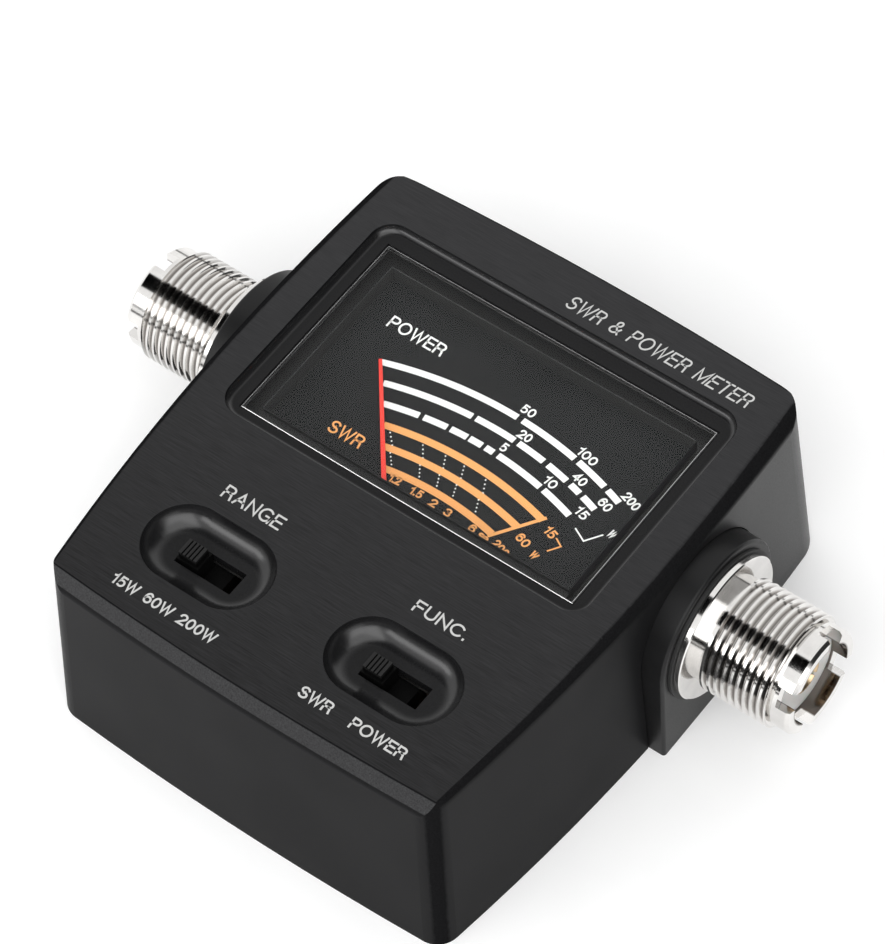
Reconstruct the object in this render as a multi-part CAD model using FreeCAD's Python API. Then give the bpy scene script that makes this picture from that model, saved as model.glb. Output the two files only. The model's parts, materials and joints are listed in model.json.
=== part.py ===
import FreeCAD, Part

import math
import os

# SWR and power meter, lying on its back: the panel faces +Z and its lettering reads with +Y up.
# Units are millimetres. The origin is the centre of the object's footprint, on the surface.

# ---------------------------------------------------------------- driving dimensions
PANEL_Z = 30.0              # height of the flat panel above the surface
BASE_FRONT, BASE_BACK = -39.8, 39.8
BASE_HALF_WIDTH = 35.05     # at the widest point, level with the sockets
DRAFT = 1.35                # how much each wall leans in from the base to the panel
FRONT_DRAFT = 2.7
SIDE_BOW_R = 335.0          # plan radius of the side walls, widest at SIDE_BOW_Y
SIDE_BOW_Y = 14.4
END_BOW_R = 520.0           # plan radius of the front and back walls
FRONT_CORNER_R, BACK_CORNER_R = 3.3, 5.2
SHOULDER_FRONT_R, SHOULDER_BACK_R = 0.55, 2.0
FRONT_BEVEL = (1.25, 2.6)   # depth and rise of the bevel at the panel's front edge
BACK_BEVEL = (0.5, 0.6)
WALL = 2.2
PANEL_T = 3.0

WINDOW_Y = 12.4             # centre of the meter window
WINDOW_W, WINDOW_H = 52.2, 31.0
POCKET_W, POCKET_H, POCKET_R, POCKET_DEPTH = 56.7, 35.5, 3.2, 1.2
DIAL_Z = 24.8

SOCKET_Y, SOCKET_Z = 11.4, 15.8     # axis of both coaxial sockets
EAR_FACE_X = 37.1                   # outer face of the chassis ears
EAR_T = 4.3
EAR_R = 12.0
THREAD_R = 7.94                     # 5/8-24 thread, crest radius
THREAD_PITCH = 25.4 / 24
SOCKET_TIP_X = 52.6

SWITCH_X, SWITCH_Y = 14.4, -23.5    # centres of the two slide switches, at -X and +X
DISH_W, DISH_H, DISH_DEPTH = 18.6, 11.4, 2.5
DISH_R = 3.5                # radius of the dish wall's section
SLOT_W, SLOT_H = 8.8, 3.5
KNOB_W, KNOB_D = 3.4, 2.9           # slider's shank, then its ribbed grip
GRIP_W, GRIP_D, GRIP_RIBS = 2.8, 2.4, 5
SWITCH_TRAVEL = 5.0

PIVOT = (1.6, -8.9)                 # axis of the moving-coil pointer
POINTER_R = 29.8
POINTER_Z = 25.55
ZERO_ANGLE = 39.0                   # pointer's rest, degrees left of +Y
STOP_ANGLE = ZERO_ANGLE + 5.5

FLOOR_Z, FLOOR_T = 0.0, 2.2         # chassis floor: underside height and thickness
FLOOR_GAP = 0.35                    # between the floor and the shell, over FLOOR_T of draft
LINE_BOARD_Z = 7.0
SWITCH_BOARD_Z = 17.4
BOARD_T = 1.2

# Coaxial sockets, along +X from the ear: flange, coupling thread, notched nose, parts inside.
FLANGE_X0, FLANGE_X1, FLANGE_R = EAR_FACE_X + 0.4, 38.45, 10.15
THREAD_X0, THREAD_X1 = 39.9, 49.55
NOSE_R = 7.3
NOTCH_W, NOTCH_DEPTH = 2.9, 2.0
NOTCH_TURN_RIGHT, NOTCH_TURN_LEFT = -28.5, -8.5     # degrees about X from straight up
MOUTH_R, MOUTH_X = 5.7, 46.2                        # recess in the nose and its floor
INSULATOR_X = SOCKET_TIP_X - 2.3                    # front faces of insulator and contact
CONTACT_X = SOCKET_TIP_X - 2.0

# Meter
COVER_T, COVER_WALL, COVER_EDGE_R = 1.3, 2.0, 0.3
BAY_X0, BAY_X1, BAY_Y0, BAY_Y1 = -11.0, 14.2, -19.5, 1.7    # well for the movement
METER_TABS = [(-12.0, 31.6), (12.0, 31.6)]
STUD_PLACES = [(-7.0, -16.0), (10.2, -16.0)]
DIAL_SCREW_PLACES = [(-24.0, WINDOW_Y + 15.4), (24.0, WINDOW_Y + 15.4)]

# Switches and boards: x of each switch and its number of terminals in a row
SWITCHES = {"range": (-SWITCH_X, 4), "function": (SWITCH_X, 3)}
SWITCH_Z0, SWITCH_Z1 = SWITCH_BOARD_Z + BOARD_T, 25.9
SHELL_BOSSES = [(-26.3, -31.5), (26.3, -31.5), (-24.0, 34.6), (24.0, 34.6)]
SHELL_PILOT_R, BOARD_PILOT_R = 1.1, 0.8     # screw holes in the shell's bosses
SHELL_BOSS_R, BOARD_BOSS_R = 3.0, 2.2
BOARD_BOSSES = [(-26.6, -18.5), (26.6, -18.5), (0.0, -31.8)]
BOARD_POST = (19.5, 9.5)                # line board posts, from the socket axis
TRIMMERS = [(-13.0, SOCKET_Y + 8.6), (13.0, SOCKET_Y + 8.6)]
TRIMMER_R = 2.6

Z = FreeCAD.Vector(0, 0, 1)
V = FreeCAD.Vector


# ---------------------------------------------------------------- small helpers
def box(x0, x1, y0, y1, z0, z1):
    return Part.makeBox(x1 - x0, y1 - y0, z1 - z0, V(x0, y0, z0))


def rod(r, z0, z1, x=0.0, y=0.0):
    return Part.makeCylinder(r, z1 - z0, V(x, y, z0), Z)


def rod_x(r, x0, x1, y=SOCKET_Y, z=SOCKET_Z):
    return Part.makeCylinder(r, x1 - x0, V(x0, y, z), V(1, 0, 0))


def tube(r_out, r_in, z0, z1, x=0.0, y=0.0):
    return rod(r_out, z0, z1, x, y).cut(rod(r_in, z0, z1, x, y))


def fuse(first, *rest):
    return first.fuse(list(rest)).removeSplitter() if rest else first


def loop(edges):
    return Part.Wire(Part.__sortEdges__(edges))


def prism(wire, height):
    return Part.Face(wire).extrude(V(0, 0, height))


def slab(cx, cy, w, h, r, z0, z1):
    """Rounded rectangle standing from z0 to z1."""
    shape = box(cx - w / 2, cx + w / 2, cy - h / 2, cy + h / 2, z0, z1)
    upright = [e for e in shape.Edges if abs(e.tangentAt(e.FirstParameter).z) > 0.9]
    return shape.makeFillet(r, upright) if r > 0 else shape


def edges_at(shape, z, tolerance=0.02):
    return [e for e in shape.Edges
            if abs(e.BoundBox.ZMin - z) < tolerance and abs(e.BoundBox.ZMax - z) < tolerance]


def hexagon(across_flats, z0, z1, x=0.0, y=0.0):
    r = across_flats / math.sqrt(3)
    corners = [V(x + r * math.cos(math.radians(60 * i)), y + r * math.sin(math.radians(60 * i)), z0)
               for i in range(7)]
    return prism(Part.makePolygon(corners), z1 - z0)


def mirrored(shape):
    return shape.mirror(V(0, 0, 0), V(1, 0, 0))


def turned(shape, angle, centre, axis=Z):
    copy = shape.copy()
    copy.rotate(V(*centre), axis, angle)
    return copy


def group(*solids):
    return Part.makeCompound(list(solids))


# ---------------------------------------------------------------- outer shell
def outline(z, half_w, front, back, corner_radii=None):
    """Closed plan outline with four bowed sides and rounded corners, at height z."""
    side_c = half_w - SIDE_BOW_R

    def side_x(y):
        return side_c + math.sqrt(SIDE_BOW_R ** 2 - (y - SIDE_BOW_Y) ** 2)

    def end_y(x, edge, sign):
        return edge - sign * (END_BOW_R - math.sqrt(END_BOW_R ** 2 - x ** 2))

    sharp = {}
    for name, edge, sign in (("front", front, -1), ("back", back, 1)):
        x = half_w
        for _ in range(12):
            y = end_y(x, edge, sign)
            x = side_x(y)
        sharp[name] = (x, y)
    (xf, yf), (xb, yb) = sharp["front"], sharp["back"]
    right = Part.Arc(V(xf, yf, z), V(half_w, SIDE_BOW_Y, z), V(xb, yb, z)).toShape()
    left = Part.Arc(V(-xb, yb, z), V(-half_w, SIDE_BOW_Y, z), V(-xf, yf, z)).toShape()
    near = Part.Arc(V(-xf, yf, z), V(0, front, z), V(xf, yf, z)).toShape()
    far = Part.Arc(V(xb, yb, z), V(0, back, z), V(-xb, yb, z)).toShape()
    wire = loop([right, far, left, near])
    if corner_radii is None:
        return wire
    plate = Part.Face(wire).extrude(V(0, 0, 1))
    for radius, sign in zip(corner_radii, (-1, 1)):
        corners = [e for e in plate.Edges if e.BoundBox.ZLength > 0.5
                   and abs(e.CenterOfMass.x) > half_w * 0.8 and e.CenterOfMass.y * sign > abs(front) * 0.9]
        plate = plate.makeFillet(radius, corners)
    return loop(edges_at(plate, z))


def shell_solid(inset, z0, z1, rounded=True):
    """Tapered solid of the shell, set in from the outer faces by inset."""
    def section(z):
        lean = DRAFT * z / PANEL_Z
        lean_front = FRONT_DRAFT * z / PANEL_Z
        radii = [max(r - inset, 0.8) for r in (FRONT_CORNER_R, BACK_CORNER_R)] if rounded else None
        return outline(z, BASE_HALF_WIDTH - inset - lean, BASE_FRONT + inset + lean_front,
                       BASE_BACK - inset - lean, radii)
    return Part.makeLoft([section(z0), section(z1)], True, True)


def shouldered_solid():
    """Square-cornered shell whose side shoulders are wide at the back and fade to the front."""
    body = shell_solid(0, 0, PANEL_Z, rounded=False)
    for side in (1, -1):
        edge = [e for e in edges_at(body, PANEL_Z)
                if e.BoundBox.YLength > 60 and e.CenterOfMass.x * side > 20][0]
        starts_at_back = edge.valueAt(edge.FirstParameter).y > 0
        radii = (SHOULDER_BACK_R, SHOULDER_FRONT_R)
        body = body.makeFillet(*(radii if starts_at_back else radii[::-1]), [edge])
    return body


def edge_wedge(edge, depth, rise, sign):
    """Wedge that chamfers the panel's front (sign 1) or back (sign -1) edge along its bow."""
    slope = depth / rise
    centre = V(0, edge + sign * END_BOW_R, 0)
    profile = [V(0, edge - sign * 3, PANEL_Z + 1), V(0, edge + sign * (depth + slope), PANEL_Z + 1),
               V(0, edge - sign * slope * 1.5, PANEL_Z - rise - 1.5),
               V(0, edge - sign * 3, PANEL_Z - rise - 1.5)]
    face = Part.Face(Part.makePolygon(profile + [profile[0]]))
    return turned(face, -4, (centre.x, centre.y, 0)).revolve(centre, Z, 8)


def window_pocket():
    pocket = slab(0, WINDOW_Y + 0.4, POCKET_W, POCKET_H, POCKET_R, PANEL_Z - POCKET_DEPTH, PANEL_Z + 2)
    pocket = pocket.makeFillet(POCKET_DEPTH * 0.9, edges_at(pocket, PANEL_Z - POCKET_DEPTH))
    hole = box(-WINDOW_W / 2, WINDOW_W / 2, WINDOW_Y - WINDOW_H / 2, WINDOW_Y + WINDOW_H / 2,
               PANEL_Z - PANEL_T - 1, PANEL_Z)
    return fuse(pocket, hole)


def dish_cut(x):
    floor = PANEL_Z - DISH_DEPTH
    overhang = DISH_R - math.sqrt(DISH_R ** 2 - (DISH_R - DISH_DEPTH) ** 2)
    width, height = DISH_W + 2 * overhang, DISH_H + 2 * overhang
    dish = slab(x, SWITCH_Y, width, height, height / 2 - 0.01, floor, PANEL_Z + DISH_R)
    dish = dish.makeFillet(DISH_R, edges_at(dish, floor))
    slot = box(x - SLOT_W / 2, x + SLOT_W / 2, SWITCH_Y - SLOT_H / 2, SWITCH_Y + SLOT_H / 2,
               floor - 5, floor + 1)
    return fuse(dish, slot)


def ear_prism(grow, x0, x1):
    """Tombstone-shaped block: straight sides that lean in a little, and a round top."""
    base = EAR_R + 0.05 + grow
    r = EAR_R + grow
    bottom = -1.0 if grow else FLOOR_Z
    pts = [V(x0, SOCKET_Y - base, bottom), V(x0, SOCKET_Y - r + 0.25, SOCKET_Z),
           V(x0, SOCKET_Y, SOCKET_Z + r - 0.25), V(x0, SOCKET_Y + r - 0.25, SOCKET_Z),
           V(x0, SOCKET_Y + base, bottom)]
    edges = [Part.LineSegment(pts[0], pts[1]).toShape(), Part.Arc(pts[1], pts[2], pts[3]).toShape(),
             Part.LineSegment(pts[3], pts[4]).toShape(), Part.LineSegment(pts[4], pts[0]).toShape()]
    return Part.Face(Part.Wire(edges)).extrude(V(x1 - x0, 0, 0))


def housing():
    wedges = [edge_wedge(BASE_FRONT + FRONT_DRAFT, *FRONT_BEVEL, 1),
              edge_wedge(BASE_BACK - DRAFT, *BACK_BEVEL, -1)]
    outer = shell_solid(0, 0, PANEL_Z).common(shouldered_solid()).cut(wedges)
    inner = shell_solid(WALL, -0.01, PANEL_Z - PANEL_T)
    body = outer.cut(inner)
    cavity_top = PANEL_Z - PANEL_T
    adds = []
    for sx in (-1, 1):
        adds.append(slab(sx * SWITCH_X, SWITCH_Y, DISH_W + 2.4, DISH_H + 2.0, DISH_H / 2 + 0.9,
                         cavity_top - 1.0, cavity_top + 0.1))
    for x, y in SHELL_BOSSES:
        adds.append(rod(SHELL_BOSS_R, FLOOR_Z + FLOOR_T + 0.1, cavity_top + 0.1, x, y))
    for x, y in BOARD_BOSSES:
        adds.append(rod(BOARD_BOSS_R, SWITCH_BOARD_Z + BOARD_T + 0.05, cavity_top + 0.1, x, y))
    for x, y in METER_TABS:
        adds.append(rod(BOARD_BOSS_R, DIAL_Z - 0.45, cavity_top + 0.1, x, y))
    body = fuse(body, *adds).common(shell_solid(0, 0, PANEL_Z))
    cuts = [window_pocket(), dish_cut(-SWITCH_X), dish_cut(SWITCH_X)]
    notch = ear_prism(0.15, EAR_FACE_X - EAR_T - 1.5, EAR_FACE_X + 2)
    cuts += [notch, mirrored(notch)]
    for x, y in SHELL_BOSSES:
        cuts.append(rod(SHELL_PILOT_R, 0, 14, x, y))
    for x, y in BOARD_BOSSES:
        cuts.append(rod(BOARD_PILOT_R, SWITCH_BOARD_Z, 25, x, y))
    for x, y in METER_TABS:
        cuts.append(rod(BOARD_PILOT_R, 20, 27.2, x, y))
    return body.cut(cuts)


# ---------------------------------------------------------------- chassis and sockets
def chassis():
    """Cast floor with two upright ears that fill the notches in the shell."""
    inset = WALL + FLOOR_GAP
    wire = outline(FLOOR_Z, BASE_HALF_WIDTH - inset, BASE_FRONT + inset, BASE_BACK - inset,
                   (FRONT_CORNER_R - WALL, BACK_CORNER_R - WALL))
    floor = prism(wire, FLOOR_T)
    ear = ear_prism(0.0, EAR_FACE_X - EAR_T, EAR_FACE_X)
    rim = [e for e in ear.Edges if abs(e.BoundBox.XMin - EAR_FACE_X) < 0.01
           and abs(e.BoundBox.XMax - EAR_FACE_X) < 0.01 and e.BoundBox.ZMax > 1]
    ear = ear.makeFillet(0.45, rim)
    tongue = box(28.0, EAR_FACE_X - EAR_T + 1, SOCKET_Y - EAR_R, SOCKET_Y + EAR_R,
                 FLOOR_Z, FLOOR_Z + FLOOR_T)
    plate = fuse(floor, ear, mirrored(ear), tongue, mirrored(tongue))
    cuts = [rod_x(6.35, -40, 40)]
    for x, y in SHELL_BOSSES:
        cuts.append(rod(1.45, 0, 4, x, y))
        cuts.append(Part.makeCone(2.65, 1.45, 1.2, V(x, y, FLOOR_Z), Z))
    for sx in (-1, 1):
        for sy in (-1, 1):
            plate = plate.fuse(tube(2.2, 0.9, FLOOR_Z + FLOOR_T - 0.1, LINE_BOARD_Z,
                                    sx * BOARD_POST[0], SOCKET_Y + sy * BOARD_POST[1]))
    return plate.removeSplitter().cut(cuts)


def thread_profile(x0, x1, r_crest):
    """Ring grooves of a 24-per-inch thread between x0 and x1, as (x, r) points."""
    crest, root = 0.34, 0.10                      # widths of the flats
    flank = (THREAD_PITCH - crest - root) / 2
    depth = flank / math.tan(math.radians(30))
    points = []
    count = int((x1 - x0) / THREAD_PITCH)
    for i in range(count):
        x = x0 + i * THREAD_PITCH
        points += [(x, r_crest), (x + crest, r_crest), (x + crest + flank, r_crest - depth),
                   (x + crest + flank + root, r_crest - depth)]
    points.append((x0 + count * THREAD_PITCH, r_crest))
    return points


def spun(points, y=SOCKET_Y, z=SOCKET_Z):
    """Solid of revolution about the socket axis from (x, r) points, closed along the axis."""
    pts = [V(x, y, z + r) for x, r in points]
    pts = [V(points[0][0], y, z)] + pts + [V(points[-1][0], y, z)]
    clean = [p for i, p in enumerate(pts) if i == 0 or (p - pts[i - 1]).Length > 1e-6]
    return Part.Face(Part.makePolygon(clean + [clean[0]])).revolve(V(0, y, z), V(1, 0, 0), 360)


def socket_shell(notch_turn):
    """Plated brass body at +X: rear thread through the ear, flange, front thread, notched nose."""
    points = [(29.0, 5.95), (29.3, 6.2), (FLANGE_X0, 6.2), (FLANGE_X0, FLANGE_R - 0.15),
              (FLANGE_X0 + 0.15, FLANGE_R), (FLANGE_X1 - 0.15, FLANGE_R), (FLANGE_X1, FLANGE_R - 0.15),
              (FLANGE_X1, 7.3), (THREAD_X0, 7.3)]
    points += thread_profile(THREAD_X0, THREAD_X1, THREAD_R)
    points += [(THREAD_X1, 7.6), (THREAD_X1 + 0.05, 6.75), (THREAD_X1 + 0.45, 6.75),
               (THREAD_X1 + 0.5, NOSE_R), (SOCKET_TIP_X - 0.45, NOSE_R), (SOCKET_TIP_X, NOSE_R - 0.35)]
    body = spun(points)
    bore = fuse(rod_x(4.6, 28, SOCKET_TIP_X + 1), rod_x(MOUTH_R, MOUTH_X, SOCKET_TIP_X + 1),
                rod_x(5.2, 33.0, MOUTH_X))
    notches = []
    for angle in (0, 90, 180, 270):
        notch = box(SOCKET_TIP_X - NOTCH_DEPTH, SOCKET_TIP_X + 1, SOCKET_Y - NOTCH_W / 2,
                    SOCKET_Y + NOTCH_W / 2, SOCKET_Z + 5.0, SOCKET_Z + 9.0)
        notches.append(turned(notch, angle + notch_turn, (0, SOCKET_Y, SOCKET_Z), V(1, 0, 0)))
    return body.cut([bore] + notches)


def socket_insulator():
    core = fuse(rod_x(5.15, 33.1, MOUTH_X), rod_x(4.55, 28.2, 33.1),
                rod_x(MOUTH_R - 0.05, MOUTH_X, INSULATOR_X))
    return core.cut([rod_x(2.6, 32, 60), rod_x(1.6, 27, 33)])


def socket_contact():
    """Centre contact: split 4 mm socket in front, solder cup behind."""
    sleeve = rod_x(2.55, 32.1, CONTACT_X)
    tail = rod_x(1.5, 25.0, 32.2)
    slits = [turned(box(43.5, 53, SOCKET_Y - 0.22, SOCKET_Y + 0.22, SOCKET_Z, SOCKET_Z + 4),
                    a, (0, SOCKET_Y, SOCKET_Z), V(1, 0, 0)) for a in (45, 135, 225, 315)]
    lead_in = Part.makeCone(2.0, 2.35, 0.5, V(CONTACT_X - 0.5, SOCKET_Y, SOCKET_Z), V(1, 0, 0))
    return fuse(sleeve, tail).cut([rod_x(2.0, 42.0, 53), lead_in, rod_x(1.05, 24, 27.5)] + slits)


def socket_washer():
    x1 = EAR_FACE_X - EAR_T
    return rod_x(9.2, x1 - 0.6, x1).cut(rod_x(6.3, x1 - 1, x1 + 1))


def socket_nut():
    x1 = EAR_FACE_X - EAR_T - 0.6
    nut = hexagon(16.5, 0, 2.0)
    nut.rotate(V(0, 0, 0), V(0, 1, 0), 90)
    nut.translate(V(x1 - 2.0, SOCKET_Y, SOCKET_Z))
    return nut.cut(rod_x(6.22, x1 - 3, x1 + 1))


def socket_gasket():
    ring = rod_x(FLANGE_R + 0.45, EAR_FACE_X, FLANGE_X0)
    return ring.cut(rod_x(6.4, EAR_FACE_X - 1, FLANGE_X0 + 1))


# ---------------------------------------------------------------- meter movement
def meter_cover():
    """Clear cover: top plate, three full walls, a short front wall the pointer passes under."""
    x, y0, y1 = WINDOW_W / 2 - 0.1, WINDOW_Y - WINDOW_H / 2 + 0.1, WINDOW_Y + WINDOW_H / 2 - 0.1
    top = PANEL_Z - POCKET_DEPTH
    block = box(-x, x, y0, y1, DIAL_Z + 0.05, top)
    block = block.makeFillet(COVER_EDGE_R, edges_at(block, top))
    flange = box(-x - 1.4, x + 1.4, y0 - 1.4, y1 + 1.4, DIAL_Z + 0.05, PANEL_Z - PANEL_T - 0.1)
    half = x - COVER_WALL
    hollow = box(-half, half, y0 + COVER_WALL, y1 - COVER_WALL, DIAL_Z - 1, top - COVER_T)
    pass_under = box(-half, half, y0 - 3, y0 + 3, DIAL_Z - 1, POINTER_Z + 0.9)
    return fuse(block, flange).cut([hollow, pass_under])


def meter_case():
    """Black case: shallow tray under the dial and a deeper bay for the movement."""
    y1 = WINDOW_Y + WINDOW_H / 2 + 1.2
    y_join = WINDOW_Y - WINDOW_H / 2 - 1.0
    tray = box(-27.3, 27.3, y_join, y1, 20.6, DIAL_Z - 0.5)
    tray_hollow = box(-25.8, 25.8, y_join + 1.4, y1 - 1.5, 21.8, 30)
    bay = slab((BAY_X0 + BAY_X1) / 2, (BAY_Y0 + BAY_Y1) / 2, BAY_X1 - BAY_X0, BAY_Y1 - BAY_Y0,
               2.0, 8.4, DIAL_Z - 0.5)
    bay_hollow = box(BAY_X0 + 1.2, BAY_X1 - 1.2, BAY_Y0 + 1.2, BAY_Y1 - 1.1, 9.7, 30)
    tabs = [box(x - 2.6, x + 2.6, y1 - 1, y + 2.4, DIAL_Z - 1.7, DIAL_Z - 0.5) for x, y in METER_TABS]
    holes = [rod(1.1, 20, 30, x, y) for x, y in METER_TABS]
    holes += [rod(0.85, 21.9, 30, x, y) for x, y in DIAL_SCREW_PLACES]
    holes += [rod(1.2, 8, 10, x, y) for x, y in STUD_PLACES]
    return fuse(tray, bay, *tabs).cut([tray_hollow, bay_hollow] + holes)


def dial_plate():
    """Painted aluminium dial, notched round the movement."""
    y1 = WINDOW_Y + WINDOW_H / 2 + 1.0
    plate = box(-27.0, 27.0, WINDOW_Y - WINDOW_H / 2 - 0.9, y1, DIAL_Z - 0.5, DIAL_Z)
    px, py = PIVOT
    notch = box(px - 10.0, px + 10.0, -10, py + 5.8, DIAL_Z - 1, DIAL_Z + 1)
    screw_holes = [rod(0.9, DIAL_Z - 1, DIAL_Z + 1, x, y) for x, y in DIAL_SCREW_PLACES]
    return plate.cut([notch] + screw_holes)


def dial_screws():
    return group(*[rod(0.85, 22.0, DIAL_Z, x, y) for x, y in DIAL_SCREW_PLACES])


def meter_screws():
    return group(*[pan_screw(x, y, DIAL_Z - 1.7, 3.4) for x, y in METER_TABS])


def magnet():
    return rod(5.0, 12.6, 20.4, *PIVOT)


def yoke():
    return tube(9.2, 7.3, 12.0, 21.0, *PIVOT)


def core_support():
    """Lower cross bar that carries magnet, yoke and lower jewel."""
    px, py = PIVOT
    bar = box(px - 9.2, px + 9.2, py - 1.6, py + 1.6, 10.0, 10.8)
    posts = [box(px + s * 8.7 - 0.5, px + s * 8.7 + 0.5, py - 1.6, py + 1.6, 10.8, 12.0)
             for s in (-1, 1)]
    return fuse(bar, *posts).cut(rod(1.0, 9, 12, px, py))


def upper_bridge():
    px, py = PIVOT
    bar = box(px - 9.2, px + 9.2, py - 1.6, py + 1.6, 24.9, 25.6)
    legs = [box(px + s * 8.6 - 0.6, px + s * 8.6 + 0.6, py - 1.6, py + 1.6, 21.0, 24.9)
            for s in (-1, 1)]
    return fuse(bar, *legs).cut(rod(1.0, 24, 27, px, py))


def jewel_screws():
    px, py = PIVOT
    upper = rod(1.0, 24.6, 26.3, px, py).cut(rod(0.27, 24.0, 24.95, px, py))
    lower = rod(1.0, 9.8, 11.3, px, py).cut(rod(0.27, 10.95, 12.0, px, py))
    return group(upper, lower)


def coil_former():
    """Aluminium frame of the moving coil, in the gap between magnet and yoke."""
    px, py = PIVOT
    return box(px - 1.5, px + 1.5, py - 6.2, py + 6.2, 11.9, 21.1).cut(
        box(px - 3, px + 3, py - 5.75, py + 5.75, 12.3, 20.7))


def coil_winding():
    px, py = PIVOT
    return box(px - 1.3, px + 1.3, py - 6.75, py + 6.75, 11.6, 21.6).cut(
        box(px - 3, px + 3, py - 6.2, py + 6.2, 11.9, 21.1))


def pivot_staffs():
    px, py = PIVOT
    upper = fuse(rod(0.5, 21.6, 24.2, px, py), rod(0.2, 24.2, 24.8, px, py))
    lower = fuse(rod(0.2, 11.05, 11.45, px, py), rod(0.4, 11.45, 11.6, px, py))
    return group(upper, lower)


def hairsprings():
    """Two flat hairsprings, one above the other, over the coil; drawn as rings with a spoke."""
    px, py = PIVOT
    coils = []
    for z in (22.0, 22.6):
        bands = [tube(r + 0.08, r - 0.08, z, z + 0.3, px, py) for r in (1.2, 1.9, 2.6)]
        spokes = [box(px, px + 2.7, py - 0.1, py + 0.1, z, z + 0.3).cut(rod(0.56, z, z + 1, px, py))]
        coils.append(fuse(*(bands + spokes)))
    return group(*coils)


def pointer():
    """Flat red pointer drawn along +Y from its hub, then turned to the zero mark."""
    px, py = PIVOT
    hub = tube(1.3, 0.52, 23.2, 23.9, px, py)
    arm = box(px - 0.3, px + 0.3, py + 0.9, py + 3.6, 23.4, 23.9)
    riser = box(px - 0.3, px + 0.3, py + 3.1, py + 3.6, 23.4, POINTER_Z + 0.2)
    points = [V(px - 0.34, py + 3.1, POINTER_Z - 0.15), V(px + 0.34, py + 3.1, POINTER_Z - 0.15),
              V(px + 0.22, py + POINTER_R, POINTER_Z - 0.15),
              V(px - 0.22, py + POINTER_R, POINTER_Z - 0.15)]
    blade = prism(Part.makePolygon(points + [points[0]]), 0.35)
    tail = box(px - 0.3, px + 0.3, py - 6.4, py - 0.9, 23.4, 23.9)
    return turned(fuse(hub, arm, riser, blade, tail), ZERO_ANGLE, (px, py, 0))


def counterweight():
    px, py = PIVOT
    weight = Part.makeCylinder(0.75, 2.6, V(px - 1.3, py - 5.6, 23.65), V(1, 0, 0))
    slot = box(px - 0.3, px + 0.3, py - 7, py - 0.9, 23.4, 23.9)
    return turned(weight.cut(slot), ZERO_ANGLE, (px, py, 0))


def pointer_stops():
    px, py = PIVOT
    posts = []
    for sign in (-1, 1):
        a = math.radians(sign * STOP_ANGLE)
        posts.append(rod(0.3, DIAL_Z, POINTER_Z + 0.4, px + 8.6 * math.sin(a), py + 8.6 * math.cos(a)))
    return group(*posts)


def meter_studs():
    """Two terminal studs under the movement bay."""
    return group(*[rod(1.2, 6.2, 9.7, x, y) for x, y in STUD_PLACES])


# ---------------------------------------------------------------- slide switches
def switch_frame(x):
    """Folded steel can of one slide switch."""
    can = box(x - 8.2, x + 8.2, SWITCH_Y - 3.6, SWITCH_Y + 3.6, SWITCH_Z0 + 1.4, SWITCH_Z1)
    hollow = box(x - 7.8, x + 7.8, SWITCH_Y - 3.2, SWITCH_Y + 3.2, SWITCH_Z0, SWITCH_Z1 - 0.4)
    slot = box(x - SLOT_W / 2 - 0.1, x + SLOT_W / 2 + 0.1, SWITCH_Y - SLOT_H / 2, SWITCH_Y + SLOT_H / 2,
               SWITCH_Z1 - 1, SWITCH_Z1 + 1)
    return can.cut([hollow, slot])


def switch_base(x, ways):
    """Laminate base with a double row of terminals through the board."""
    plate = box(x - 8.2, x + 8.2, SWITCH_Y - 3.6, SWITCH_Y + 3.6, SWITCH_Z0, SWITCH_Z0 + 1.4)
    holes = [rod(0.5, 0, 40, tx, ty) for tx, ty in terminal_places(x, ways)]
    return plate.cut(holes)


def terminal_places(x, ways):
    return [(x + (i - (ways - 1) / 2) * 3.6, SWITCH_Y + s * 1.9)
            for i in range(ways) for s in (-1, 1)]


def switch_terminals(x, ways):
    pins = []
    for tx, ty in terminal_places(x, ways):
        pins.append(fuse(rod(0.5, SWITCH_BOARD_Z - 1.2, SWITCH_Z0 + 1.4, tx, ty),
                         rod(0.9, SWITCH_Z0 + 1.4, SWITCH_Z0 + 1.9, tx, ty)))
    return group(*pins)


def switch_knob(x):
    """Moulded slider at its left end: ribbed grip, shank in the slot, guide block in the can."""
    kx = x - SWITCH_TRAVEL / 2
    top, step = PANEL_Z - 0.75, PANEL_Z - 2.0
    shank = box(kx - KNOB_W / 2, kx + KNOB_W / 2, SWITCH_Y - KNOB_D / 2, SWITCH_Y + KNOB_D / 2,
                22.8, step)
    grip = box(kx - GRIP_W / 2, kx + GRIP_W / 2, SWITCH_Y - GRIP_D / 2, SWITCH_Y + GRIP_D / 2,
               step, top)
    pitch = GRIP_W / GRIP_RIBS
    grooves = [box(kx - GRIP_W / 2 + pitch * (i - 0.2), kx - GRIP_W / 2 + pitch * (i + 0.2),
                   SWITCH_Y - GRIP_D, SWITCH_Y + GRIP_D, top - 0.4, top + 1)
               for i in range(1, GRIP_RIBS)]
    block = box(kx - 4.6, kx + 4.6, SWITCH_Y - 2.9, SWITCH_Y + 2.9, 22.2, 25.2)
    return fuse(shank, grip, block).cut(grooves)


def switch_contacts(x):
    """Two spring bridges that ride under the slider and join neighbouring terminals."""
    kx = x - SWITCH_TRAVEL / 2
    bridges = [box(kx - 2.4, kx + 2.4, SWITCH_Y + s * 1.9 - 0.6, SWITCH_Y + s * 1.9 + 0.6, 20.75, 22.2)
               for s in (-1, 1)]
    return group(*bridges)


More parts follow.
